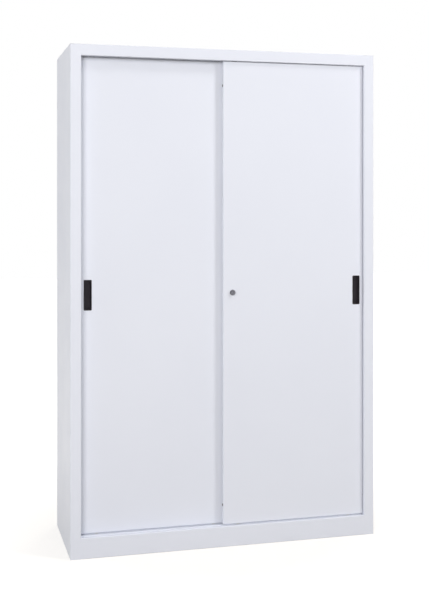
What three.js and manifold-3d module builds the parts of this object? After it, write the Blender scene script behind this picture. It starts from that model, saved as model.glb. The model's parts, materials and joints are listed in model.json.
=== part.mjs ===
// A tall steel cabinet with two sliding doors, in millimetres, +Z up.
// X runs to the viewer's right, Y runs into the cabinet, and the origin lies on the floor under its middle.
import * as THREE from "three";
import { mergeVertices } from "three/addons/utils/BufferGeometryUtils.js";
import Module from "manifold-3d";

const wasm = await Module();
wasm.setup();

// Overall sizes
const cabinetWidth = 1200;
const cabinetDepth = 450;
const cabinetHeight = 1900;

// Sheet steel and general fits
const sheet = 1; // thickness of every folded sheet
const bendRadius = 2.5; // outer radius of a fold
const seam = 0.3; // gap between pieces that are welded, screwed or seated on each other
const overrun = 4; // how far a cutting body runs past the face that it opens

// Front frame
const postWidth = 40;
const postLip = 12; // flange that closes the back of each post
const headerHeight = 42;
const plinthHeight = 77;
const sideRearFlange = 12;
const sideFootFlange = 12;
const plinthFootFlange = 20;
const plinthRearFlange = 20;
const topRearFlange = 20;

// Doors and the room around them
const frontRecess = 14; // from the frame's front to the front door's face
const doorThickness = 17;
const doorGap = 7; // between the two doors
const doorOverlap = 28;
const edgeGap = 2; // from a closed door's edge to its post
const ledgeGap = 4.5; // under the doors, round the running ribs
const headerGap = 0.5; // between the doors and the header
const rearRoom = 7; // behind the rear door, inside the post's depth
const doorLip = 15; // flange that returns behind the door's edge
const doorEdgeRadius = 2;

// Places that follow from the sizes above
const innerWidth = cabinetWidth - 2 * postWidth;
const doorWidth = (innerWidth - 2 * edgeGap + doorOverlap) / 2;
const doorHeight = cabinetHeight - plinthHeight - headerHeight - ledgeGap - headerGap;
const laneSpacing = doorThickness + doorGap;
const postDepth = frontRecess + doorThickness + laneSpacing + rearRoom;
const frontFace = -cabinetDepth / 2;
const frontLane = frontFace + frontRecess + doorThickness / 2;
const rearLane = frontLane + laneSpacing;
const doorBottom = plinthHeight + ledgeGap;
const doorTop = doorBottom + doorHeight;
const doorFullTravel = doorWidth - doorOverlap;

// Bottom ribs and wheels
const ribWidth = 3;
const ribHeight = 2.5;
const ribChamfer = 0.8;
const wheelTread = 11; // radius of the groove that runs on the rib
const wheelRim = 1.6; // height of the groove's flanges
const wheelWidth = 9;
const grooveSideGap = 0.7;
const grooveSlope = 1;
const wheelInset = 60; // from a door's edge to its wheel
const axleRadius = 3;
const bracketWall = 1.5;
const bracketHalfLength = 12;
const wheelSlotGap = 1.5;
const wheelTopRoom = 2;

// Top track and guides
const trackWall = 1;
const guideInset = 45;
const guideSideGap = 1;
const guideHeight = 14;
const guideNeckRadius = 4;
const guideFootRadius = 6.5;
const guideFootThickness = 2;
const guideChamfer = 1.5;
const stopLength = 16;
const stopLift = 3;

// Recessed handles
const handleWidth = 30;
const handleHeight = 114;
const handleCorner = 3.5;
const handleInset = 12; // from the door's edge to the handle
const handleFlange = 0.8; // thickness of the rim on the door's face
const handleRim = 2; // how far the rim overlaps the cut-out
const handleCupDepth = 12;
const handleWall = 1.4;
const handlePocketCorner = 7;
const handleFingerRoom = 9; // kept free beside the handle when its door is open

// Push lock
const lockInset = 37; // from the front door's inner edge to the lock's axis
const barrelRadius = 8.4;
const barrelProud = 10;
const barrelSink = 10; // length of the barrel behind the door's face
const lockBodyWall = 1.2;
const lockBodyDepth = 13;
const lockFlangeOverlap = 1.3; // beyond the lock's body
const lockFlangeThickness = 1.2;
const lockSlideGap = 0.25;
const boltRadius = 3.5;
const plugRadius = 5.4;
const plugLength = 10.4;
const keywayWidth = 2;
const keywayHeight = 7;
const keywayDepth = 6;
const strikeThickness = 1.5;
const strikeWidth = 14;
const strikeHeight = 40;
const strikeRearGap = 1.5; // from the strike's lip to the front door's back
const strikeBoltGap = 0.5; // from the strike's lip to the bolt
const barrelChamfer = 0.8;

// Rubber buffers
const bufferRadius = 5;
const bufferStemRadius = 2;
const bufferStemTail = 2.5;
const bufferChamfer = 0.8;
const bufferLowerHeight = 73.5; // above the door's bottom edge
const bufferUpperDrop = 93.5; // below the door's top edge

// Door stiffener
const stiffenerCrown = 30;
const stiffenerFoot = 12;
const stiffenerHeight = 12;
const stiffenerEndGap = 20;

// Slotted uprights, shelves and their clips
const uprightWidth = 30;
const uprightStandoff = 12;
const uprightSetback = 15; // behind the post
const uprightBackGap = 8; // in front of the back panel
const uprightTopGap = 6;
const slotPitch = 50;
const slotWidth = 5;
const slotHeight = 14;
const slotEndMargin = 35;
const shelfCount = 4;
const shelfFold = 25;
const shelfReturn = 12;
const shelfFrontGap = 4;
const shelfBackGap = 3;
const shelfEndGap = 1.5;
const clipWidth = 18;
const clipThickness = 1.5;
const clipLedge = 14;
const clipRise = 6; // ledge above the slot's middle
const clipDrop = 14; // plate below the slot's middle
const clipHookDrop = 4; // hook below the slot
const clipTongueGap = 0.6;

// Back panel and floor panel
const backRibDepth = 4;
const backRibWidth = 30;
const backRibSlope = 6;
const backRibPlaceShare = 0.25; // of the width, each side of the middle
const floorFold = 20;

// Facets round a full turn and in a rounded fold
const turnFacets = 20;
const foldFacets = 3;

const ALONG_X = new THREE.Matrix4().makeBasis(
  new THREE.Vector3(0, 1, 0),
  new THREE.Vector3(0, 0, 1),
  new THREE.Vector3(1, 0, 0),
);
const ALONG_Y = new THREE.Matrix4().makeBasis(
  new THREE.Vector3(1, 0, 0),
  new THREE.Vector3(0, 0, -1),
  new THREE.Vector3(0, 1, 0),
);

// A closed mesh as a solid for cutting and joining.
function solidOf(geometry) {
  const bare = geometry.clone();
  bare.deleteAttribute("normal");
  bare.deleteAttribute("uv");
  const merged = mergeVertices(bare);
  return new wasm.Manifold(
    new wasm.Mesh({
      numProp: 3,
      vertProperties: merged.attributes.position.array,
      triVerts: merged.index.array,
    }),
  );
}

function geometryOf(solid) {
  const mesh = solid.getMesh();
  const geometry = new THREE.BufferGeometry();
  geometry.setAttribute("position", new THREE.BufferAttribute(mesh.vertProperties, 3));
  geometry.setIndex(new THREE.BufferAttribute(mesh.triVerts, 1));
  geometry.computeVertexNormals();
  return geometry;
}

const join = (geometries) =>
  geometryOf(geometries.map(solidOf).reduce((whole, next) => whole.add(next)));

function carve(geometry, cutters) {
  const cutting = cutters.map(solidOf).reduce((whole, next) => whole.add(next));
  return geometryOf(solidOf(geometry).subtract(cutting));
}

function boxBetween(low, high) {
  const [width, depth, height] = high.map((value, axis) => value - low[axis]);
  const middle = high.map((value, axis) => (value + low[axis]) / 2);
  return new THREE.BoxGeometry(width, depth, height).translate(...middle);
}

// A solid of revolution round Y. The profile holds [radius, y] pairs.
function turned(profile) {
  const points = profile.map(([radius, y]) => new THREE.Vector2(radius, y));
  return new THREE.LatheGeometry(points, turnFacets);
}

// A ring of revolution round Y, whose profile closes on itself.
const turnedRing = (profile) => turned([...profile, profile[0]]);

const turnedAlongZ = (profile) => turned(profile).rotateX(Math.PI / 2);
const turnedAlongX = (profile) => turned(profile).rotateZ(-Math.PI / 2);

function cylinderAlongY(radius, low, high) {
  return turned([
    [0, low],
    [radius, low],
    [radius, high],
    [0, high],
  ]);
}

const extruded = (outline, length) =>
  new THREE.ExtrudeGeometry(new THREE.Shape(outline), { depth: length, bevelEnabled: false });

// An outline in Y and Z, extruded from one X to another.
const extrudedAlongX = (outline, from, to) =>
  extruded(outline, to - from).applyMatrix4(ALONG_X).translate(from, 0, 0);

// An outline in X and Z (Z given downwards), extruded from one Y to another.
const extrudedAlongY = (outline, from, to) =>
  extruded(outline, to - from).applyMatrix4(ALONG_Y).translate(0, from, 0);

// The polyline with each inner corner turned into an arc of its own radius.
function roundedLine(points, radii) {
  const line = [points[0]];
  for (let i = 1; i < points.length - 1; i += 1) {
    const corner = points[i];
    const back = points[i - 1].clone().sub(corner).normalize();
    const ahead = points[i + 1].clone().sub(corner).normalize();
    const halfAngle = back.angleTo(ahead) / 2;
    const radius = radii[i - 1];
    const sweep = Math.sign(ahead.cross(back)) * (Math.PI - 2 * halfAngle);
    const centre = back.clone().add(ahead).setLength(radius / Math.sin(halfAngle)).add(corner);
    const start = back.multiplyScalar(radius / Math.tan(halfAngle)).add(corner);
    for (let k = 0; k <= foldFacets; k += 1) {
      line.push(start.clone().rotateAround(centre, (sweep * k) / foldFacets));
    }
  }
  line.push(points[points.length - 1]);
  return line;
}

// Where the polyline's corners lie once it is moved sideways, to its left, by the thickness.
function offsetLine(points, thickness) {
  const normals = points.slice(1).map((point, i) => {
    const way = point.clone().sub(points[i]).normalize();
    return new THREE.Vector2(-way.y, way.x);
  });
  return points.map((point, i) => {
    const before = normals[Math.max(i - 1, 0)];
    const after = normals[Math.min(i, normals.length - 1)];
    const middle = before.clone().add(after).normalize();
    return middle.multiplyScalar(thickness / middle.dot(after)).add(point);
  });
}

// The outline of a folded sheet. The corners lie on one face, and the metal lies to its left.
function foldedSheet(corners, thickness = sheet, radius = bendRadius) {
  const face = corners.map(([x, y]) => new THREE.Vector2(x, y));
  const turnsLeft = face.slice(1, -1).map((corner, i) => {
    const into = corner.clone().sub(face[i]);
    const out = face[i + 2].clone().sub(corner);
    return into.cross(out) > 0;
  });
  const faceRadii = turnsLeft.map((left) => (left ? radius : radius - thickness));
  const farRadii = turnsLeft.map((left) => (left ? radius - thickness : radius));
  const far = roundedLine(offsetLine(face, thickness), farRadii);
  return [...roundedLine(face, faceRadii), ...far.reverse()];
}

// A rectangle with round corners, from its lowest to its highest corner.
function roundedRectangle(low, high, radius) {
  const [left, bottom] = low;
  const [right, top] = high;
  const centres = [
    [right - radius, bottom + radius, -Math.PI / 2],
    [right - radius, top - radius, 0],
    [left + radius, top - radius, Math.PI / 2],
    [left + radius, bottom + radius, Math.PI],
  ];
  return centres.flatMap(([x, y, from]) =>
    Array.from({ length: foldFacets + 1 }, (_, k) => {
      const angle = from + (k * Math.PI) / (2 * foldFacets);
      return new THREE.Vector2(x + radius * Math.cos(angle), y + radius * Math.sin(angle));
    }),
  );
}

const mirrored = (corners) => corners.map(([x, y]) => [-x, y]).reverse();

const finish = (color, roughness, metalness) =>
  new THREE.MeshStandardMaterial({ color, roughness, metalness });
const powderCoat = finish(0xe9ebf2, 0.45, 0);
const zincSteel = finish(0xb9bdc2, 0.4, 0.9);
const blackPlastic = finish(0x231f24, 0.55, 0);
const nylon = finish(0xdedcd2, 0.55, 0);
const rubber = finish(0x757578, 0.8, 0);
const lockMetal = finish(0x7c7c84, 0.3, 1);

function piece(name, geometry, material, place = [0, 0, 0]) {
  const mesh = new THREE.Mesh(geometry, material);
  mesh.name = name;
  mesh.position.set(...place);
  return mesh;
}

function groupAt(place, children) {
  const group = new THREE.Group();
  group.position.set(...place);
  group.add(...children);
  return group;
}

// Side panels: outer wall, front post and rear flange folded from one sheet, with a foot flange

const sideTop = cabinetHeight - sheet - seam;
const outerFace = cabinetWidth / 2;
const postInnerFace = outerFace - postWidth;

function sidePanel(side) {
  const rear = frontFace + cabinetDepth;
  const leftPath = [
    [-outerFace + sideRearFlange, rear],
    [-outerFace, rear],
    [-outerFace, frontFace],
    [-postInnerFace, frontFace],
    [-postInnerFace, frontFace + postDepth],
    [-postInnerFace - postLip, frontFace + postDepth],
  ];
  const path = side < 0 ? leftPath : mirrored(leftPath);
  const wall = extruded(foldedSheet(path), sideTop);
  const footEnds = [side * (outerFace - sideFootFlange), side * (outerFace - sheet / 2)];
  const foot = boxBetween(
    [Math.min(...footEnds), frontFace + postDepth, 0],
    [Math.max(...footEnds), rear - bendRadius, sheet],
  );
  return join([wall, foot]);
}

// Top panel: one sheet folded down into the header at the front and a flange at the back

function topPanel() {
  const rear = frontFace + cabinetDepth;
  const headerReturn = frontLane - laneSpacing / 2 - trackWall / 2 - seam;
  const headerFoot = cabinetHeight - headerHeight;
  const path = [
    [rear, cabinetHeight - topRearFlange],
    [rear, cabinetHeight],
    [frontFace, cabinetHeight],
    [frontFace, headerFoot],
    [headerReturn, headerFoot],
  ];
  const folded = extrudedAlongX(foldedSheet(path), -outerFace, outerFace);
  const corners = [-1, 1].map((side) => {
    const ends = [side * (postInnerFace - seam), side * (outerFace + overrun)];
    return boxBetween(
      [Math.min(...ends), frontFace - overrun, headerFoot - overrun],
      [Math.max(...ends), rear + overrun, cabinetHeight - sheet],
    );
  });
  return carve(folded, corners);
}

// Plinth: front board, ledge with two running ribs, and flanges

function runningRib(lane) {
  const half = ribWidth / 2;
  const base = plinthHeight - sheet / 2;
  const crest = plinthHeight + ribHeight;
  const outline = [
    [lane - half, base],
    [lane + half, base],
    [lane + half, crest - ribChamfer],
    [lane + half - ribChamfer, crest],
    [lane - half + ribChamfer, crest],
    [lane - half, crest - ribChamfer],
  ].map(([y, z]) => new THREE.Vector2(y, z));
  return extrudedAlongX(outline, -postInnerFace + seam, postInnerFace - seam);
}

function plinth() {
  const ledgeRear = frontFace + postDepth;
  const path = [
    [ledgeRear, plinthHeight - plinthRearFlange],
    [ledgeRear, plinthHeight],
    [frontFace, plinthHeight],
    [frontFace, 0],
    [frontFace + plinthFootFlange, 0],
  ];
  const board = extrudedAlongX(foldedSheet(path), -postInnerFace + seam, postInnerFace - seam);
  return join([board, runningRib(frontLane), runningRib(rearLane)]);
}

// Back panel with two pressed ribs, in front of the side panels' rear flanges

const backRear = frontFace + cabinetDepth - sheet - seam;
const backInner = backRear - sheet - backRibDepth;
const sheetSpan = outerFace - sheet - seam; // inner half width between the side walls

function backPanel() {
  const end = outerFace - bendRadius;
  const ribPlace = backRibPlaceShare * cabinetWidth;
  const ribCorners = (middle) => [
    [middle + backRibWidth / 2, backRear],
    [middle + backRibWidth / 2 - backRibSlope, backRear - backRibDepth],
    [middle - backRibWidth / 2 + backRibSlope, backRear - backRibDepth],
    [middle - backRibWidth / 2, backRear],
  ];
  const path = [
    [end, backRear],
    ...ribCorners(ribPlace),
    ...ribCorners(-ribPlace),
    [-end, backRear],
  ];
  const foot = sheet + seam;
  return extruded(foldedSheet(path), cabinetHeight - bendRadius - foot).translate(0, 0, foot);
}

function floorPanel() {
  const path = [
    [backInner - seam, plinthHeight - floorFold],
    [backInner - seam, plinthHeight],
    [frontFace + postDepth + seam, plinthHeight],
    [frontFace + postDepth + seam, plinthHeight - floorFold],
  ];
  return extrudedAlongX(foldedSheet(path), -sheetSpan, sheetSpan);
}

// Top track: a web under the top panel and three walls that make two lanes

const trackTop = cabinetHeight - sheet - seam;
const trackFoot = cabinetHeight - headerHeight;

function topTrack() {
  const end = postInnerFace - seam;
  const wallPlaces = [-1, 1, 3].map((halves) => frontLane + (halves * laneSpacing) / 2);
  const walls = wallPlaces.map((y) =>
    boxBetween([-end, y - trackWall / 2, trackFoot], [end, y + trackWall / 2, trackTop]),
  );
  const web = boxBetween(
    [-end, wallPlaces[0] - trackWall / 2, trackTop - trackWall],
    [end, wallPlaces[wallPlaces.length - 1] + trackWall / 2, trackTop],
  );
  return join([web, ...walls]);
}

// The rear door's opening stop, between the walls of the rear lane

const guideRadius = (laneSpacing - trackWall) / 2 - guideSideGap;
const handleReach = handleInset + handleWidth + handleFingerRoom;
const rearDoorTravel = doorFullTravel - handleReach;
const rearDoorLeft = -postInnerFace + edgeGap;
const frontDoorLeft = postInnerFace - edgeGap - doorWidth;

function trackStop() {
  const guideEdge = rearDoorLeft + doorWidth - guideInset + guideRadius;
  const stopLeft = guideEdge + rearDoorTravel + seam;
  const halfLane = (laneSpacing - trackWall) / 2 - seam;
  return boxBetween(
    [stopLeft, rearLane - halfLane, doorTop + headerGap + stopLift],
    [stopLeft + stopLength, rearLane + halfLane, trackTop - trackWall - seam],
  );
}

// Slotted uprights, shelves and clips

const uprightFoot = plinthHeight + seam;
const uprightTop = cabinetHeight - headerHeight - uprightTopGap;
const webFace = outerFace - sheet - seam - uprightStandoff; // inner face of an upright's web, in X
const frontUpright = frontFace + postDepth + uprightSetback + uprightWidth / 2;
const rearUpright = backInner - uprightBackGap - uprightWidth / 2;
const slotCount = 1 + Math.floor((uprightTop - uprightFoot - 2 * slotEndMargin) / slotPitch);
const slotHeightAt = (index) => uprightFoot + slotEndMargin + index * slotPitch;

function upright(side, middle) {
  const front = middle - uprightWidth / 2;
  const rear = middle + uprightWidth / 2;
  const leftPath = [
    [-sheetSpan, front],
    [-webFace, front],
    [-webFace, rear],
    [-sheetSpan, rear],
  ];
  const path = side < 0 ? leftPath : mirrored(leftPath);
  const channel = extruded(foldedSheet(path), uprightTop - uprightFoot).translate(0, 0, uprightFoot);
  const webMiddle = side * (webFace + sheet / 2);
  const slots = Array.from({ length: slotCount }, (_, index) =>
    boxBetween(
      [webMiddle - sheet, middle - slotWidth / 2, slotHeightAt(index) - slotHeight / 2],
      [webMiddle + sheet, middle + slotWidth / 2, slotHeightAt(index) + slotHeight / 2],
    ),
  );
  return carve(channel, slots);
}

// Shelf levels fall on slots and part the inside into equal rooms.
const shelfLevels = Array.from({ length: shelfCount }, (_, k) => {
  const index = Math.round(((k + 1) * slotCount) / (shelfCount + 1)) - 1;
  return slotHeightAt(index) + clipRise + seam + sheet;
});

function shelf() {
  const front = frontFace + postDepth + shelfFrontGap;
  const rear = backInner - shelfBackGap;
  const path = [
    [rear - shelfReturn, -shelfFold],
    [rear, -shelfFold],
    [rear, 0],
    [front, 0],
    [front, -shelfFold],
    [front + shelfReturn, -shelfFold],
  ];
  const end = webFace - shelfEndGap;
  return extrudedAlongX(foldedSheet(path), -end, end);
}

// A clip on a left upright, from the middle of its slot on the web's inner face.
function shelfClip() {
  const half = clipWidth / 2;
  const tongueHalf = slotWidth / 2 - clipTongueGap;
  const tongueFoot = -slotHeight / 2 + seam;
  const hookFront = -sheet - seam;
  const plateBack = seam + clipThickness;
  const plate = boxBetween([seam, -half, -clipDrop], [plateBack, half, clipRise]);
  const ledge = boxBetween([seam, -half, clipRise - clipThickness], [clipLedge, half, clipRise]);
  const tongue = boxBetween(
    [hookFront - clipThickness, -tongueHalf, tongueFoot],
    [plateBack, tongueHalf, tongueFoot + slotHeight / 2],
  );
  const hook = boxBetween(
    [hookFront - clipThickness, -tongueHalf, tongueFoot - clipHookDrop],
    [hookFront, tongueHalf, tongueFoot + slotHeight / 2],
  );
  return join([plate, ledge, tongue, hook]);
}

function shelving() {
  const pieces = [];
  const clipShape = shelfClip();
  const corners = [
    ["front_left", -1, frontUpright],
    ["rear_left", -1, rearUpright],
    ["front_right", 1, frontUpright],
    ["rear_right", 1, rearUpright],
  ];
  for (const [corner, side, middle] of corners) {
    pieces.push(piece(`upright_${corner}`, upright(side, middle), powderCoat));
  }
  shelfLevels.forEach((level, k) => {
    const number = k + 1;
    pieces.push(piece(`shelf_${number}`, shelf(), powderCoat, [0, 0, level]));
    const slotLevel = level - sheet - seam - clipRise;
    for (const [corner, side, middle] of corners) {
      const place = [side * webFace, middle, slotLevel];
      const clip = piece(`clip_${number}_${corner}`, clipShape, zincSteel, place);
      clip.rotation.z = side < 0 ? 0 : Math.PI;
      pieces.push(clip);
    }
  });
  return pieces;
}

// Doors. Each one is built from its lower left front corner.

const wheelCentre = ribHeight + seam + wheelTread - ledgeGap; // above the door's bottom edge
const wheelRadius = wheelTread + wheelRim;
const handleMiddle = doorHeight / 2;
const cupHalfWidth = handleWidth / 2 - handleRim;
const cupHalfHeight = handleHeight / 2 - handleRim;

function doorPanel(cutters) {
  const flatOutline = roundedRectangle([0, 0], [doorWidth, doorThickness], doorEdgeRadius);
  const tallOutline = roundedRectangle([0, 0], [doorThickness, doorHeight], doorEdgeRadius);
  const roundedSides = solidOf(extruded(flatOutline, doorHeight));
  const roundedEnds = solidOf(extrudedAlongX(tallOutline, 0, doorWidth));
  const block = geometryOf(roundedSides.intersect(roundedEnds));
  const hollow = boxBetween(
    [sheet, sheet, sheet],
    [doorWidth - sheet, doorThickness - sheet, doorHeight - sheet],
  );
  const backOpening = boxBetween(
    [doorLip, doorThickness - sheet - overrun, doorLip],
    [doorWidth - doorLip, doorThickness + overrun, doorHeight - doorLip],
  );
  return carve(block, [hollow, backOpening, ...cutters]);
}

function wheelSlot(x) {
  const halfLength = wheelRadius + wheelSlotGap;
  const halfWidth = wheelWidth / 2 + wheelSlotGap / 2;
  const middle = doorThickness / 2;
  return boxBetween(
    [x - halfLength, middle - halfWidth, -overrun],
    [x + halfLength, middle + halfWidth, sheet + overrun],
  );
}

function guideHole(x) {
  const radius = guideNeckRadius + seam;
  const hole = turnedAlongZ([
    [0, -overrun],
    [radius, -overrun],
    [radius, overrun],
    [0, overrun],
  ]);
  return hole.translate(x, doorThickness / 2, doorHeight);
}

function bufferHole(x, z) {
  const radius = bufferStemRadius + seam;
  const hole = turnedAlongX([
    [0, -overrun],
    [radius, -overrun],
    [radius, overrun],
    [0, overrun],
  ]);
  return hole.translate(x, doorThickness / 2, z);
}

function handleCutOut(x) {
  const half = cupHalfWidth + seam;
  const halfHeight = cupHalfHeight + seam;
  return boxBetween(
    [x - half, -overrun, handleMiddle - halfHeight],
    [x + half, sheet + overrun, handleMiddle + halfHeight],
  );
}

// The recessed handle, from its middle on the door's face.
function handle() {
  const rim = roundedRectangle(
    [-handleWidth / 2, -handleHeight / 2],
    [handleWidth / 2, handleHeight / 2],
    handleCorner,
  );
  const cup = roundedRectangle(
    [-cupHalfWidth, -cupHalfHeight],
    [cupHalfWidth, cupHalfHeight],
    handleCorner,
  );
  const pocket = roundedRectangle(
    [-cupHalfWidth + handleWall, -cupHalfHeight + handleWall],
    [cupHalfWidth - handleWall, cupHalfHeight - handleWall],
    handlePocketCorner,
  );
  const solid = join([
    extrudedAlongY(rim, -seam - handleFlange, -seam),
    extrudedAlongY(cup, -seam - handleFlange / 2, handleCupDepth),
  ]);
  return carve(solid, [extrudedAlongY(pocket, -overrun, handleCupDepth - handleWall)]);
}

// A grooved wheel round Y, from its centre.
function wheel() {
  const bore = axleRadius + seam;
  const half = wheelWidth / 2;
  const floorHalf = ribWidth / 2 + grooveSideGap;
  return turnedRing([
    [bore, -half],
    [wheelRadius, -half],
    [wheelRadius, -floorHalf - grooveSlope],
    [wheelTread, -floorHalf],
    [wheelTread, floorHalf],
    [wheelRadius, floorHalf + grooveSlope],
    [wheelRadius, half],
    [bore, half],
  ]);
}

// The bracket and its fixed axle, from the wheel's centre.
function wheelBracket() {
  const outer = doorThickness / 2 - sheet - seam;
  const foot = sheet + seam - wheelCentre;
  const top = wheelRadius + wheelTopRoom;
  const cheeks = [-1, 1].map((side) => {
    const ends = [side * (outer - bracketWall), side * outer];
    return boxBetween(
      [-bracketHalfLength, Math.min(...ends), foot],
      [bracketHalfLength, Math.max(...ends), top + bracketWall],
    );
  });
  const bridge = boxBetween(
    [-bracketHalfLength, -outer, top],
    [bracketHalfLength, outer, top + bracketWall],
  );
  return join([...cheeks, bridge, cylinderAlongY(axleRadius, -outer, outer)]);
}

// A guide peg round Z, from the door's top edge.
function guide() {
  const footTop = -sheet - seam;
  return turnedAlongZ([
    [0, footTop - guideFootThickness],
    [guideFootRadius, footTop - guideFootThickness],
    [guideFootRadius, footTop],
    [guideNeckRadius, footTop],
    [guideNeckRadius, seam],
    [guideRadius, seam],
    [guideRadius, guideHeight - guideChamfer],
    [guideRadius - guideChamfer, guideHeight],
    [0, guideHeight],
  ]);
}

// A push-in rubber buffer round X, whose head points along +X from the door's edge.
function buffer() {
  const head = edgeGap - seam;
  return turnedAlongX([
    [0, -sheet - bufferStemTail],
    [bufferStemRadius, -sheet - bufferStemTail],
    [bufferStemRadius, seam],
    [bufferRadius, seam],
    [bufferRadius, head - bufferChamfer],
    [bufferRadius - bufferChamfer, head],
    [0, head],
  ]);
}

function stiffener() {
  const foot = sheet + seam;
  const crown = foot + stiffenerHeight;
  const half = stiffenerCrown / 2;
  const path = [
    [-half - stiffenerFoot, foot],
    [-half, foot],
    [-half, crown],
    [half, crown],
    [half, foot],
    [half + stiffenerFoot, foot],
  ];
  const length = doorHeight - 2 * (doorLip + stiffenerEndGap);
  const outline = foldedSheet(path);
  return extruded(outline, length).translate(doorWidth / 2, 0, doorLip + stiffenerEndGap);
}

// Lock pieces, from the lock's axis on the front door's face

const boltRest = doorThickness - seam;
const lockBodyRadius = barrelRadius + lockSlideGap + lockBodyWall;
const lockFlangeRadius = lockBodyRadius + lockFlangeOverlap;

function lockBody() {
  const bore = barrelRadius + lockSlideGap;
  const flangeFront = -seam - lockFlangeThickness;
  return turnedRing([
    [bore, flangeFront],
    [lockFlangeRadius - lockFlangeThickness / 2, flangeFront],
    [lockFlangeRadius, -seam - lockFlangeThickness / 2],
    [lockFlangeRadius, -seam],
    [lockBodyRadius, -seam],
    [lockBodyRadius, lockBodyDepth],
    [bore, lockBodyDepth],
  ]);
}

function lockBarrel() {
  const plugBore = plugRadius + seam;
  const boreFloor = plugLength + seam - barrelProud;
  return turned([
    [0, boreFloor],
    [plugBore, boreFloor],
    [plugBore, -barrelProud],
    [barrelRadius - barrelChamfer, -barrelProud],
    [barrelRadius, -barrelProud + barrelChamfer],
    [barrelRadius, barrelSink],
    [boltRadius, barrelSink],
    [boltRadius, boltRest],
    [0, boltRest],
  ]);
}

function lockPlug() {
  const body = cylinderAlongY(plugRadius, -barrelProud, plugLength - barrelProud);
  const keyway = boxBetween(
    [-keywayWidth / 2, -barrelProud - overrun, -keywayHeight / 2],
    [keywayWidth / 2, -barrelProud + keywayDepth, keywayHeight / 2],
  );
  return carve(body, [keyway]);
}

// The strike on the rear door's face: a plate past the door's edge, with a lip beside the bolt.
function lockStrike() {
  const plateFront = -seam - strikeThickness;
  const lipFront = strikeRearGap - doorGap;
  const low = handleMiddle - strikeHeight / 2;
  const high = handleMiddle + strikeHeight / 2;
  const end = doorWidth + lockInset - doorOverlap - boltRadius - strikeBoltGap;
  return join([
    boxBetween([doorWidth - strikeWidth, plateFront, low], [end, -seam, high]),
    boxBetween([end - strikeThickness, lipFront, low], [end, -seam, high]),
  ]);
}

// The pieces that both doors have. The handle and the outer buffers lie on the side given.
function doorPieces(label, side, bufferSides, moreCutters) {
  const wheelPlaces = [wheelInset, doorWidth - wheelInset];
  const guidePlaces = [guideInset, doorWidth - guideInset];
  const bufferHeights = [
    ["lower", bufferLowerHeight],
    ["upper", doorHeight - bufferUpperDrop],
  ];
  const handleEdge = handleInset + handleWidth / 2;
  const handlePlace = side < 0 ? handleEdge : doorWidth - handleEdge;
  const edgeAt = (bufferSide) => (bufferSide < 0 ? 0 : doorWidth);
  const cutters = [
    ...wheelPlaces.map(wheelSlot),
    ...guidePlaces.map(guideHole),
    ...bufferSides.flatMap(([, bufferSide]) =>
      bufferHeights.map(([, z]) => bufferHole(edgeAt(bufferSide), z)),
    ),
    handleCutOut(handlePlace),
    ...moreCutters,
  ];
  const middle = doorThickness / 2;
  const pieces = [
    piece(`${label}_door_panel`, doorPanel(cutters), powderCoat),
    piece(`${label}_door_stiffener`, stiffener(), powderCoat),
    piece(`${label}_door_handle`, handle(), blackPlastic, [handlePlace, 0, handleMiddle]),
  ];
  wheelPlaces.forEach((x, k) => {
    const place = [x, middle, wheelCentre];
    pieces.push(piece(`${label}_wheel_bracket_${k + 1}`, wheelBracket(), zincSteel, place));
    pieces.push(piece(`${label}_wheel_${k + 1}`, wheel(), nylon, place));
  });
  guidePlaces.forEach((x, k) => {
    const place = [x, middle, doorHeight];
    pieces.push(piece(`${label}_guide_${k + 1}`, guide(), blackPlastic, place));
  });
  for (const [bufferLabel, bufferSide] of bufferSides) {
    for (const [heightLabel, z] of bufferHeights) {
      const name = `${label}_${bufferLabel}_buffer_${heightLabel}`;
      const rubberPiece = piece(name, buffer(), rubber, [edgeAt(bufferSide), middle, z]);
      rubberPiece.rotation.z = bufferSide < 0 ? Math.PI : 0;
      pieces.push(rubberPiece);
    }
  }
  return pieces;
}

function rearDoor() {
  const pieces = doorPieces("left", -1, [["outer", -1]], []);
  pieces.push(piece("lock_strike", lockStrike(), zincSteel));
  return groupAt([rearDoorLeft, rearLane - doorThickness / 2, doorBottom], pieces);
}

function frontDoor() {
  const lockHole = cylinderAlongY(lockBodyRadius + seam, -overrun, sheet + overrun);
  lockHole.translate(lockInset, 0, handleMiddle);
  const bufferSides = [
    ["outer", 1],
    ["inner", -1],
  ];
  const pieces = doorPieces("right", 1, bufferSides, [lockHole]);
  const lockPlace = [lockInset, 0, handleMiddle];
  pieces.push(
    piece("lock_body", lockBody(), lockMetal, lockPlace),
    piece("lock_barrel", lockBarrel(), lockMetal, lockPlace),
    piece("lock_plug", lockPlug(), lockMetal, lockPlace),
  );
  return groupAt([frontDoorLeft, frontLane - doorThickness / 2, doorBottom], pieces);
}

const cabinet = new THREE.Group();
cabinet.add(
  piece("side_panel_left", sidePanel(-1), powderCoat),
  piece("side_panel_right", sidePanel(1), powderCoat),
  piece("top_panel", topPanel(), powderCoat),
  piece("plinth", plinth(), powderCoat),
  piece("back_panel", backPanel(), powderCoat),
  piece("floor_panel", floorPanel(), powderCoat),
  piece("top_track", topTrack(), powderCoat),
  piece("track_stop", trackStop(), rubber),
  ...shelving(),
  rearDoor(),
  frontDoor(),
);

export default cabinet;
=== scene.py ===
import json
import math

import bmesh
import bpy
from mathutils import Matrix, Vector


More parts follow.
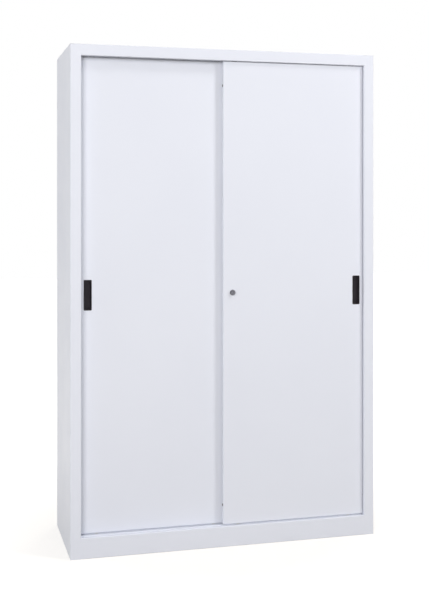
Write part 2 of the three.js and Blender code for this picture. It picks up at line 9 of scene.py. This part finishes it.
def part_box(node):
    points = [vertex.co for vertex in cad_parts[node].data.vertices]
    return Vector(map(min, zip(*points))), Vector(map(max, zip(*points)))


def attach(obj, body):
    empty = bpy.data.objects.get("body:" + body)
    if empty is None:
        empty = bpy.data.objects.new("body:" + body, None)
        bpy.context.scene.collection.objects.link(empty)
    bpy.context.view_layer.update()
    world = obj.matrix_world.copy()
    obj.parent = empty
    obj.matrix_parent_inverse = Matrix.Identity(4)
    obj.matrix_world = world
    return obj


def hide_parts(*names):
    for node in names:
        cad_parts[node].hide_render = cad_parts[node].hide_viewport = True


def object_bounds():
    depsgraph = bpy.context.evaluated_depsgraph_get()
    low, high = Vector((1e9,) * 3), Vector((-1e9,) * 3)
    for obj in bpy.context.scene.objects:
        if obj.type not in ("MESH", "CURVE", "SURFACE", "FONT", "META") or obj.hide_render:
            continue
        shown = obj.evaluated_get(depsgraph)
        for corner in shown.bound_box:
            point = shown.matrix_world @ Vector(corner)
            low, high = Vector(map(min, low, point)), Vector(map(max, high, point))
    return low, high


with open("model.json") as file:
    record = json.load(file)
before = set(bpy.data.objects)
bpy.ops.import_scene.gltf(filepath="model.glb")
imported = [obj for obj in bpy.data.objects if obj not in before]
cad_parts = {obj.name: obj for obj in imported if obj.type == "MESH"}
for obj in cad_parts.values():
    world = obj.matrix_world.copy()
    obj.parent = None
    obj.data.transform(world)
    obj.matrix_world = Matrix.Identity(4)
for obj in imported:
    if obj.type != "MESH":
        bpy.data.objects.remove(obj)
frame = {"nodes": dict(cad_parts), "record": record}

cad_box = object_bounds()

MM = 0.001
SLOT_OF = {part["node"]: part["material_slot"] for part in frame["record"]["subparts"]}
BODY_OF = {
    node: body
    for body, nodes in frame["record"]["behaviour"]["bodies"].items()
    for node in nodes
}

# How meshes are made and refined
SAME_PLACE = 0.001 * MM  # vertices nearer to each other than this are one
FLAT_ANGLE = math.radians(0.5)  # faces that differ by less than this are merged
EDGE_ANGLE = math.radians(40)  # an edge sharper than this gets a small round
CREASE_ANGLE = math.radians(55)  # shading stays smooth below this
SHEET_EDGE = 0.22 * MM  # round on a coated sheet's cut edge
EDGE_STEPS = 2
TURN_STEPS = 72  # facets round a turned piece
ARC_STEPS = 5  # facets round a quarter of a small fillet
FILLET_SHARE = 0.49  # a fillet takes no more than this share of a side


def middle_of(node):
    """The middle of a CAD node's box at rest."""
    low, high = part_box(node)
    return (low + high) / 2


# Finishes: node materials in the part's own coordinates, in metres

NOISE_LOW = 0.3  # most values of a noise texture lie between these
NOISE_HIGH = 0.7


class Finish:
    """A material that is built node by node round its Principled shader."""

    def __init__(self, name):
        self.material = bpy.data.materials.new(name)
        self.material.use_nodes = True
        self.nodes = self.material.node_tree.nodes
        self.links = self.material.node_tree.links
        self.shader = self.nodes["Principled BSDF"]
        self.place = self.nodes.new("ShaderNodeTexCoord").outputs["Object"]

    def feed(self, node, inputs):
        """Sets each named input to a value, or links it to a socket."""
        for name, value in inputs.items():
            if isinstance(value, bpy.types.NodeSocket):
                self.links.new(value, node.inputs[name])
            else:
                node.inputs[name].default_value = value
        return node

    def add(self, kind, inputs, **settings):
        """A new node with those settings and inputs."""
        node = self.nodes.new(kind)
        for name, value in settings.items():
            setattr(node, name, value)
        return self.feed(node, inputs)

    def moved(self, offset=(0, 0, 0), scale=(1, 1, 1)):
        """The place, moved and then stretched, so that a texture can follow a piece's own axis."""
        shifted = self.add("ShaderNodeVectorMath", {0: self.place, 1: offset}, operation="ADD")
        stretched = {0: shifted.outputs[0], 1: scale}
        return self.add("ShaderNodeVectorMath", stretched, operation="MULTIPLY").outputs[0]

    def noise(self, grain, detail=2.0, roughness=0.5, place=None):
        """Noise whose grains are about that many metres across."""
        inputs = {
            "Vector": place or self.place,
            "Scale": 1 / grain,
            "Detail": detail,
            "Roughness": roughness,
        }
        return self.add("ShaderNodeTexNoise", inputs).outputs[0]

    def ranged(self, value, low, high, start=0.0, end=1.0):
        """The value, spread from between start and end to between low and high."""
        inputs = {
            "Value": value,
            "From Min": start,
            "From Max": end,
            "To Min": low,
            "To Max": high,
        }
        return self.add("ShaderNodeMapRange", inputs).outputs[0]

    def tinted(self, value, first, last, start=NOISE_LOW, end=NOISE_HIGH):
        """A colour that goes from first to last as the value goes from start to end."""
        ramp = self.add("ShaderNodeValToRGB", {"Fac": value})
        stops = ((start, first), (end, last))
        for element, (position, colour) in zip(ramp.color_ramp.elements, stops):
            element.position = position
            element.color = (*colour, 1)
        return ramp.outputs[0]

    def bumped(self, height, depth, strength=1.0, under=None):
        """A bump of that depth in metres, on top of another one."""
        inputs = {"Height": height, "Distance": depth, "Strength": strength}
        if under is not None:
            inputs["Normal"] = under
        return self.add("ShaderNodeBump", inputs).outputs[0]

    def done(self, **inputs):
        """The material, with those inputs of its shader."""
        named = {name.replace("_", " "): value for name, value in inputs.items()}
        self.feed(self.shader, named)
        return self.material


def powder_coat():
    """Satin white powder coat: faint orange peel over very slightly wavy sheet."""
    finish = Finish("powder_coat")
    cloud = finish.noise(450 * MM, detail=3)
    patches = finish.noise(70 * MM, detail=4)
    wave = finish.bumped(finish.noise(260 * MM, detail=1), 0.5 * MM)
    peel = finish.bumped(finish.noise(1.6 * MM, detail=2), 0.018 * MM, 0.8, wave)
    grain = finish.bumped(finish.noise(0.35 * MM, detail=1), 0.004 * MM, 0.6, peel)
    return finish.done(
        Base_Color=finish.tinted(cloud, (0.768, 0.790, 0.858), (0.784, 0.806, 0.872)),
        Roughness=finish.ranged(patches, 0.36, 0.46, NOISE_LOW, NOISE_HIGH),
        Normal=grain,
    )


def zinc_steel():
    """Bright zinc plate: fine spangle, rolling lines along X and a little clouding."""
    finish = Finish("zinc_steel")
    spangle = finish.add("ShaderNodeTexVoronoi", {"Vector": finish.place, "Scale": 1 / (5 * MM)})
    drawn_out = finish.moved(scale=(0.02, 1, 1))
    lines = finish.noise(0.8 * MM, detail=3, place=drawn_out)
    cloud = finish.noise(24 * MM, detail=4)
    return finish.done(
        Base_Color=finish.tinted(cloud, (0.50, 0.52, 0.55), (0.66, 0.67, 0.69)),
        Metallic=1.0,
        Roughness=finish.ranged(spangle.outputs["Color"], 0.30, 0.46),
        Normal=finish.bumped(lines, 0.006 * MM, 0.7),
    )


def black_plastic():
    """Near-black moulded plastic with an even fine grain."""
    finish = Finish("black_plastic")
    grain = finish.noise(0.45 * MM, detail=3, roughness=0.6)
    patches = finish.noise(9 * MM, detail=3)
    return finish.done(
        Base_Color=finish.tinted(grain, (0.0115, 0.0093, 0.0122), (0.018, 0.0143, 0.0188)),
        Roughness=finish.ranged(patches, 0.48, 0.62, NOISE_LOW, NOISE_HIGH),
        Specular_IOR_Level=0.3,
        Normal=finish.bumped(grain, 0.03 * MM, 0.7),
    )


def nylon():
    """Natural white nylon, a little cloudy."""
    finish = Finish("nylon")
    cloud = finish.noise(4 * MM, detail=3)
    return finish.done(
        Base_Color=finish.tinted(cloud, (0.66, 0.645, 0.58), (0.75, 0.74, 0.68)),
        Roughness=finish.ranged(cloud, 0.42, 0.56),
        Normal=finish.bumped(finish.noise(0.5 * MM), 0.01 * MM, 0.6),
    )


def rubber():
    """Matt grey rubber with a dusty bloom."""
    finish = Finish("rubber")
    bloom = finish.noise(2.5 * MM, detail=4)
    return finish.done(
        Base_Color=finish.tinted(bloom, (0.145, 0.145, 0.152), (0.215, 0.215, 0.222), 0.35, 0.75),
        Roughness=finish.ranged(bloom, 0.72, 0.88),
        Normal=finish.bumped(finish.noise(0.3 * MM, detail=3), 0.02 * MM, 0.8),
    )


def lock_metal():
    """Dark satin nickel, turned, so that its fine lines run round the lock's axis."""
    finish = Finish("lock_metal")
    middle = middle_of("lock_barrel")
    rings = finish.add(
        "ShaderNodeTexWave",
        {
            "Vector": finish.moved(offset=(-middle.x, 0, -middle.z)),
            "Scale": 1 / (1.6 * MM),
            "Distortion": 1.5,
            "Detail": 3.0,
        },
        wave_type="RINGS",
        rings_direction="Y",
    )
    wear = finish.noise(3 * MM, detail=4)
    return finish.done(
        Base_Color=finish.tinted(wear, (0.20, 0.202, 0.228), (0.25, 0.252, 0.28)),
        Metallic=1.0,
        Roughness=finish.ranged(wear, 0.24, 0.36, NOISE_LOW, NOISE_HIGH),
        Normal=finish.bumped(rings.outputs["Fac"], 0.004 * MM, 0.6),
    )


FINISHES = {
    maker.__name__: maker()
    for maker in (powder_coat, zinc_steel, black_plastic, nylon, rubber, lock_metal)
}


# Mesh making

def fillet(corner, before, after, radius):
    """Points on the arc that rounds a corner of an outline."""
    back = (before - corner).normalized()
    ahead = (after - corner).normalized()
    half = back.angle(ahead) / 2
    shorter = min((before - corner).length, (after - corner).length)
    reach = min(radius / math.tan(half), FILLET_SHARE * shorter)
    radius = reach * math.tan(half)
    centre = corner + (back + ahead).normalized() * (radius / math.sin(half))
    start = corner + back * reach - centre
    sweep = math.copysign(math.pi - 2 * half, ahead.cross(back))
    return [
        centre + Matrix.Rotation(sweep * step / ARC_STEPS, 2) @ start
        for step in range(ARC_STEPS + 1)
    ]


def softened(corners, closed):
    """An outline in metres from (u, v, rounding) corners in millimetres."""
    points = [Vector((u, v)) * MM for u, v, _ in corners]
    soft = []
    for index, (point, (_, _, rounding)) in enumerate(zip(points, corners)):
        at_end = not closed and index in (0, len(points) - 1)
        if rounding == 0 or at_end:
            soft.append(point)
            continue
        after = points[(index + 1) % len(points)]
        soft += fillet(point, points[index - 1], after, rounding * MM)
    return soft


def mesh_object(name, mesh):
    """A smooth-shaded object whose flat faces stay flat."""
    bmesh.ops.recalc_face_normals(mesh, faces=mesh.faces)
    for face in mesh.faces:
        face.smooth = True
    data = bpy.data.meshes.new(name)
    mesh.to_mesh(data)
    mesh.free()
    data.set_sharp_from_angle(angle=CREASE_ANGLE)
    piece = bpy.data.objects.new(name, data)
    bpy.context.scene.collection.objects.link(piece)
    weighting = piece.modifiers.new("flat_faces", "WEIGHTED_NORMAL")
    weighting.keep_sharp = True
    return piece


def on_body(piece, body, slot):
    """The piece rides on that body and has that finish."""
    piece.data.materials.append(FINISHES[slot])
    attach(piece, body)
    return piece


def stand_for(piece, node):
    """The piece takes the CAD node's place, body and finish."""
    on_body(piece, BODY_OF[node], SLOT_OF[node])
    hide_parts(node)
    return piece


def span(mesh, ring, after):
    """Faces between two rings of vertices. A ring of one vertex is a point."""
    count = max(len(ring), len(after))
    if count == 1:
        return
    for step in range(count):
        corners = [
            ring[step % len(ring)],
            ring[(step + 1) % len(ring)],
            after[(step + 1) % len(after)],
            after[step % len(after)],
        ]
        mesh.faces.new(list(dict.fromkeys(corners)))


def span_all(mesh, rings):
    """Faces between each ring of vertices and the next one."""
    for ring, after in zip(rings, rings[1:]):
        span(mesh, ring, after)


def capped(mesh, rings):
    """Faces between the rings, and one over each end."""
    span_all(mesh, rings)
    mesh.faces.new(rings[0])
    mesh.faces.new(rings[-1])


def lathe_rings(mesh, outline, centre, axis):
    """A ring of vertices for each (radius, place along the axis) point."""
    turn = Vector((0, 0, 1)).rotation_difference(Vector(axis)).to_matrix().to_4x4()
    place = Matrix.Translation(centre) @ turn
    angles = [math.tau * step / TURN_STEPS for step in range(TURN_STEPS)]
    rings = []
    for radius, along in outline:
        on_axis = radius < SAME_PLACE
        circle = [(0, 0)] if on_axis else [(math.cos(a), math.sin(a)) for a in angles]
        rings.append([
            mesh.verts.new(place @ Vector((radius * u, radius * v, along))) for u, v in circle
        ])
    return rings


def turned(node, corners, centre, axis, closed=False):
    """A turned piece in a CAD node's place, from (radius, place, rounding) corners in mm."""
    mesh = bmesh.new()
    rings = lathe_rings(mesh, softened(corners, closed), centre, axis)
    span_all(mesh, rings + rings[:1] if closed else rings)
    return stand_for(mesh_object(f"{node}_shown", mesh), node)


def refined(node, kept=lambda line: False):
    """The node's own shape, with merged flat faces and a small round on each sharp edge.

    Edges for which kept is true stay sharp.
    """
    mesh = bmesh.new()
    mesh.from_mesh(frame["nodes"][node].data)
    bmesh.ops.remove_doubles(mesh, verts=mesh.verts, dist=SAME_PLACE)
    bmesh.ops.dissolve_limit(mesh, angle_limit=FLAT_ANGLE, verts=mesh.verts, edges=mesh.edges)
    sharp = [
        line
        for line in mesh.edges
        if line.is_manifold and line.calc_face_angle() > EDGE_ANGLE and not kept(line)
    ]
    bmesh.ops.bevel(
        mesh,
        geom=sharp,
        offset=SHEET_EDGE,
        offset_type="OFFSET",
        segments=EDGE_STEPS,
        profile=0.5,
        affect="EDGES",
        clamp_overlap=True,
    )
    return stand_for(mesh_object(f"{node}_shown", mesh), node)


# Door fittings

def wheel(node):
    """A grooved nylon wheel with recessed sides."""
    side = [
        (11.0, 2.2, 0.4),
        (12.6, 3.2, 0.3),
        (12.6, 4.5, 0.5),
        (9.6, 4.5, 0.3),
        (9.3, 3.7, 0.3),
        (5.6, 3.7, 0.3),
        (5.3, 4.5, 0.3),
        (3.3, 4.5, 0.4),
    ]
    other_side = [(radius, -place, rounding) for radius, place, rounding in reversed(side)]
    return turned(node, side + other_side, middle_of(node), (0, 1, 0), closed=True)


def guide(node):
    """A black guide peg with a collar, a core hole and a rounded tip."""
    corners = [
        (0.0, 0.0, 0.0),
        (6.5, 0.0, 0.4),
        (6.5, 2.0, 0.3),
        (4.0, 2.0, 0.0),
        (4.0, 3.6, 0.0),
        (10.5, 3.6, 0.5),
        (10.5, 17.3, 2.0),
        (6.3, 17.3, 0.9),
        (5.7, 9.0, 0.9),
        (0.0, 9.0, 0.0),
    ]
    foot = middle_of(node)
    foot.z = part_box(node)[0].z
    return turned(node, corners, foot, (0, 0, 1))


def buffer(node):
    """A push-in rubber buffer with a domed head and a barbed stem."""
    low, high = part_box(node)
    length = (high.x - low.x) / MM
    door = node.split("_")[0]
    tip = middle_of(node)
    at_left = tip.x < middle_of(f"{door}_door_panel").x
    tip.x = high.x if at_left else low.x
    corners = [
        (0.0, 0.0, 0.0),
        (1.3, 0.0, 0.5),
        (2.9, 1.8, 0.4),
        (2.0, 2.3, 0.2),
        (2.0, 3.8, 0.0),
        (5.0, 3.8, 0.2),
        (5.0, length, 1.1),
        (0.0, length, 0.0),
    ]
    return turned(node, corners, tip, (-1 if at_left else 1, 0, 0))


# Recessed handles, with lengths in mm

RIM_ROUND = 0.6  # round of the rim's outer edge
LIP_ROUND = 1.2  # round from the rim into the pocket
POCKET_ROUND = 3.0  # round between the pocket's wall and its floor


def rounded_ring(mesh, half_width, half_height, corner, middle, depth):
    """A ring of vertices round a rectangle with round corners, facing the front."""
    ring = []
    for turn, (side, up) in enumerate([(1, 1), (-1, 1), (-1, -1), (1, -1)]):
        for step in range(ARC_STEPS + 1):
            angle = (turn + step / ARC_STEPS) * math.pi / 2
            x = side * (half_width - corner) + corner * math.cos(angle)
            z = up * (half_height - corner) + corner * math.sin(angle)
            ring.append(mesh.verts.new(middle + Vector((x, depth, z)) * MM))
    return ring


def handle(node):
    """A moulded cup with a rolled rim that lies on the door's face."""
    low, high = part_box(node)
    size = (high - low) / 2 / MM
    middle = middle_of(node)
    middle.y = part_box(node.replace("handle", "panel"))[0].y
    angles = [math.pi / 2 * step / ARC_STEPS for step in range(ARC_STEPS + 1)]
    arc = [(math.sin(angle), math.cos(angle)) for angle in angles]
    # Each ring is (how far inside the rim's edge, corner radius, depth behind the face).
    cup = [(4.0, 2.6, 12.0), (2.6, 3.2, 11.5), (2.0, 3.5, 10.4)]
    back = [(2.0, 3.5, -0.3), (0.0, 3.5, -0.3)]
    edge = [
        (RIM_ROUND - RIM_ROUND * c, 2.9 + RIM_ROUND * c, -0.5 - RIM_ROUND * s) for s, c in arc
    ]
    lip = [(2.2 + LIP_ROUND * s, 5.8 + LIP_ROUND * s, 0.1 - LIP_ROUND * c) for s, c in arc]
    pocket = [
        (6.7 - POCKET_ROUND * c, 3.9 + POCKET_ROUND * c, 7.6 + POCKET_ROUND * s) for s, c in arc
    ]
    mesh = bmesh.new()
    capped(mesh, [
        rounded_ring(mesh, size.x - inset, size.z - inset, corner, middle, depth)
        for inset, corner, depth in cup + back + edge + lip + pocket
    ])
    return stand_for(mesh_object(f"{node}_shown", mesh), node)


# Push lock, from its axis on the front door's face, with places along +Y, in mm

LOCK_AXIS = middle_of("lock_barrel")
LOCK_AXIS.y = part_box("right_door_panel")[0].y
INWARD = (0, 1, 0)
LOCK_FRONT = -10.0  # the front of the barrel and of the plug
PLUG_RADIUS = 5.4
PLUG_BACK = 0.4
PLUG_FACE = 4.0  # the front is filled from this radius in to the keyway
KEYWAY_FLOOR = -4.0
KEYWAY_CHAMFER = 0.25
KEYWAY_MOUTH = (1.16, 1.04)  # how much wider and higher the chamfer makes the mouth
KEYWAY = [
    (-1.0, -3.5), (1.0, -3.5), (1.0, -1.2), (0.45, -0.7), (0.45, 0.5), (1.0, 1.0),
    (1.0, 3.5), (-1.0, 3.5), (-1.0, 2.4), (-0.6, 2.0), (-0.6, 1.2), (-1.0, 0.8),
]


def lock_body():
    """The body and its flange, whose edge is rounded."""
    corners = [
        (8.65, -1.5, 0.2),
        (11.15, -1.5, 0.8),
        (11.15, -0.3, 0.0),
        (9.85, -0.3, 0.0),
        (9.85, 13.0, 0.4),
        (8.65, 13.0, 0.2),
    ]
    return turned("lock_body", corners, LOCK_AXIS, INWARD, closed=True)


def lock_barrel():
    """The barrel with its bore for the plug, a turned groove near its front, and the bolt."""
    corners = [
        (0.0, 0.7, 0.0),
        (5.7, 0.7, 0.0),
        (5.7, LOCK_FRONT, 0.2),
        (8.4, LOCK_FRONT, 0.9),
        (8.4, -7.4, 0.1),
        (8.15, -7.15, 0.1),
        (8.4, -6.9, 0.1),
        (8.4, 10.0, 0.3),
        (3.5, 10.0, 0.2),
        (3.5, 16.7, 0.6),
        (0.0, 16.7, 0.0),
    ]
    return turned("lock_barrel", corners, LOCK_AXIS, INWARD)


def keyway_ring(mesh, depth, scale=(1, 1)):
    """A ring of vertices round the keyway."""
    return [
        mesh.verts.new(LOCK_AXIS + Vector((x * scale[0], depth, z * scale[1])) * MM)
        for x, z in KEYWAY
    ]


def lock_plug():
    """The plug, with a warded keyway that is chamfered at its mouth."""
    mesh = bmesh.new()
    corners = [
        (PLUG_FACE, LOCK_FRONT, 0),
        (PLUG_RADIUS, LOCK_FRONT, 0.3),
        (PLUG_RADIUS, PLUG_BACK, 0.2),
        (0, PLUG_BACK, 0),
    ]
    wall = lathe_rings(mesh, softened(corners, False), LOCK_AXIS, INWARD)
    span_all(mesh, wall)
    mouth = keyway_ring(mesh, LOCK_FRONT, KEYWAY_MOUTH)
    throat = keyway_ring(mesh, LOCK_FRONT + KEYWAY_CHAMFER)
    end = keyway_ring(mesh, KEYWAY_FLOOR)
    span_all(mesh, [mouth, throat, end])
    mesh.faces.new(end)
    around = [
        mesh.edges.get((a, b)) or mesh.edges.new((a, b))
        for loop in (wall[0], mouth)
        for a, b in zip(loop, loop[1:] + loop[:1])
    ]
    bmesh.ops.triangle_fill(mesh, use_beauty=True, use_dissolve=False, edges=around)
    return stand_for(mesh_object("lock_plug_shown", mesh), "lock_plug")


# Front frame, in mm: the grooves between the posts' folds and the rails are welded and ground flush

FOLD = 2.5  # outer radius of the frame's folds
POST_FOLD_START = 562.5
RAIL_END = 559.7
WELD_BACK = -222.4
WELD_ROOT = 0.6  # width of a weld at its back
WELD_SWEEP = math.radians(80)  # how far a weld follows a rail's fold
RAIL_EDGES = {"header": (1858.0, 1898.7), "plinth": (0.0, 77.0)}


def frame_weld(rail, label, side):
    """Fills the groove between a rail's end and the post's fold, and follows the rail's folds."""
    front = cad_box[0].y / MM
    low, high = RAIL_EDGES[rail]
    sweeps = [WELD_SWEEP * (1 - step / ARC_STEPS) for step in range(ARC_STEPS + 1)]
    foot = [(low + FOLD * (1 - math.sin(a)), front + FOLD * (1 - math.cos(a))) for a in sweeps]
    if rail == "plinth":
        crown = [(low + high - z, y) for z, y in reversed(foot)]
    else:
        crown = [(high, front)]
    mesh = bmesh.new()
    capped(mesh, [
        [
            mesh.verts.new(Vector((side * x, y, z)) * MM)
            for x, y in (
                (POST_FOLD_START, face),
                (RAIL_END, face),
                (RAIL_END, WELD_BACK),
                (RAIL_END + WELD_ROOT, WELD_BACK),
            )
        ]
        for z, face in foot + crown
    ])
    return on_body(mesh_object(f"{rail}_weld_{label}", mesh), "cabinet", "powder_coat")


def at_rail_end(line):
    """True for the edges where a rail's front meets a weld."""
    return all(
        math.isclose(abs(vertex.co.x), RAIL_END * MM, abs_tol=SAME_PLACE)
        and vertex.co.y < WELD_BACK * MM
        for vertex in line.verts
    )


MAKERS = {"wheel": wheel, "guide": guide, "buffer": buffer, "handle": handle}
LOCK_MAKERS = {"lock_body": lock_body, "lock_barrel": lock_barrel, "lock_plug": lock_plug}
WELDED = ("top_panel", "plinth")

for node in sorted(frame["nodes"]):
    kind = next((word for word in MAKERS if word in node and "bracket" not in node), None)
    if kind:
        MAKERS[kind](node)
    elif node in LOCK_MAKERS:
        LOCK_MAKERS[node]()
    elif node in WELDED:
        refined(node, at_rail_end)
    else:
        refined(node)

for rail in RAIL_EDGES:
    for label, side in (("left", -1), ("right", 1)):
        frame_weld(rail, label, side)


# Stage, in metres

WORLD_COLOUR = (0.98, 0.99, 1.0)
WORLD_STRENGTH = 0.25
FLOOR_COLOUR = (0.46, 0.435, 0.40)  # a little warm, and so is its light on the object's foot
FLOOR_SPAN = 30.0
FLOOR_NEAR = 0.5  # from here to FLOOR_FAR the floor's own white fades in
FLOOR_FAR = 1.7
FLOOR_WHITE = 0.6  # the floor's own white near the object, where its shadow falls

# Each lamp's place, target, width, watts and colour
LAMPS = {
    "key": ((3.2, -2.9, 2.6), (0.1, -0.2, 1.2), 1.0, 54, (0.97, 0.98, 1.0)),
    "high_key": ((2.3, -2.1, 4.4), (0.1, -0.2, 1.2), 1.0, 45, (1.0, 0.98, 0.99)),
    "front_fill": ((-3.0, -5.2, 2.6), (0.0, -0.2, 1.1), 2.4, 186, (1.0, 0.992, 0.998)),
    "side_fill": ((-4.0, -0.4, 1.8), (-0.6, 0.0, 1.0), 2.0, 28, (0.93, 0.95, 1.0)),
    "back_fill": ((1.8, 4.2, 0.95), (0.0, 0.2, 1.0), 1.6, 90, (1.0, 1.0, 1.0)),
    "top_fill": ((0.0, 0.9, 4.6), (0.0, 0.1, 1.9), 1.6, 24, (0.99, 0.99, 1.0)),
}
MIRRORED_LAMP = "high_key"  # the others don't show in satin faces, or these burn out


def seen_directly(tree):
    """One where a ray comes from the camera, a mirror or glass, and zero elsewhere."""
    path = tree.nodes.new("ShaderNodeLightPath")
    total = path.outputs["Is Camera Ray"]
    for name in ("Is Glossy Ray", "Is Transmission Ray"):
        either = tree.nodes.new("ShaderNodeMath")
        either.operation = "MAXIMUM"
        tree.links.new(total, either.inputs[0])
        tree.links.new(path.outputs[name], either.inputs[1])
        total = either.outputs[0]
    return total


def white_world():
    """Plain light for the object, and white for what the camera sees of the distance."""
    world = bpy.data.worlds.new("studio")
    bpy.context.scene.world = world
    world.use_nodes = True
    tree = world.node_tree
    tree.nodes.clear()
    light = tree.nodes.new("ShaderNodeBackground")
    light.inputs["Color"].default_value = (*WORLD_COLOUR, 1)
    light.inputs["Strength"].default_value = WORLD_STRENGTH
    white = tree.nodes.new("ShaderNodeBackground")
    white.inputs["Color"].default_value = (1, 1, 1, 1)
    mix = tree.nodes.new("ShaderNodeMixShader")
    output = tree.nodes.new("ShaderNodeOutputWorld")
    tree.links.new(seen_directly(tree), mix.inputs[0])
    tree.links.new(light.outputs[0], mix.inputs[1])
    tree.links.new(white.outputs[0], mix.inputs[2])
    tree.links.new(mix.outputs[0], output.inputs[0])


def pale_floor():
    """A plain pale floor that looks white where the object doesn't shade it."""
    bpy.ops.mesh.primitive_plane_add(size=FLOOR_SPAN)
    floor = bpy.context.object
    floor.name = "floor"
    finish = Finish("floor")
    finish.done(Base_Color=(*FLOOR_COLOUR, 1), Roughness=0.9, Specular_IOR_Level=0.1)
    distance = finish.add("ShaderNodeVectorMath", {0: finish.place}, operation="LENGTH")
    white = finish.ranged(distance.outputs["Value"], FLOOR_WHITE, 1.0, FLOOR_NEAR, FLOOR_FAR)
    seen = seen_directly(finish.material.node_tree)
    shown = finish.add("ShaderNodeMath", {0: white, 1: seen}, operation="MULTIPLY")
    glow = finish.add("ShaderNodeEmission", {"Strength": shown.outputs[0]})
    total = finish.add("ShaderNodeAddShader", {0: finish.shader.outputs[0], 1: glow.outputs[0]})
    finish.feed(finish.nodes["Material Output"], {"Surface": total.outputs[0]})
    floor.data.materials.append(finish.material)


def lamp(name, place, target, width, watts, colour):
    """A square area lamp that points at a target."""
    data = bpy.data.lights.new(name, "AREA")
    data.size = width
    data.energy = watts
    data.color = colour
    light = bpy.data.objects.new(name, data)
    light.location = place
    light.rotation_euler = (Vector(target) - Vector(place)).to_track_quat("-Z", "Y").to_euler()
    light.visible_glossy = name == MIRRORED_LAMP
    bpy.context.scene.collection.objects.link(light)


white_world()
pale_floor()
for name, settings in LAMPS.items():
    lamp(name, *settings)


# Camera, fitted to the corners of the cabinet in the photograph

IMAGE_WIDTH = 429
IMAGE_HEIGHT = 600
FOCAL_PIXELS = 1053.5
AXIS_PIXEL = (225.3, 206.8)  # where the optical axis meets the picture
CAMERA_PLACE = (-1.068, -4.108, 1.299)
CAMERA_YAW = math.radians(-15.24)


def photo_camera():
    """A level camera with a shifted lens."""
    data = bpy.data.cameras.new("camera")
    data.lens = FOCAL_PIXELS / IMAGE_HEIGHT * data.sensor_width
    data.shift_x = (IMAGE_WIDTH / 2 - AXIS_PIXEL[0]) / IMAGE_HEIGHT
    data.shift_y = (AXIS_PIXEL[1] - IMAGE_HEIGHT / 2) / IMAGE_HEIGHT
    camera = bpy.data.objects.new("camera", data)
    camera.location = CAMERA_PLACE
    camera.rotation_euler = (math.pi / 2, 0, CAMERA_YAW)
    bpy.context.scene.collection.objects.link(camera)
    bpy.context.scene.camera = camera


photo_camera()
bpy.context.scene.view_settings.view_transform = "Standard"
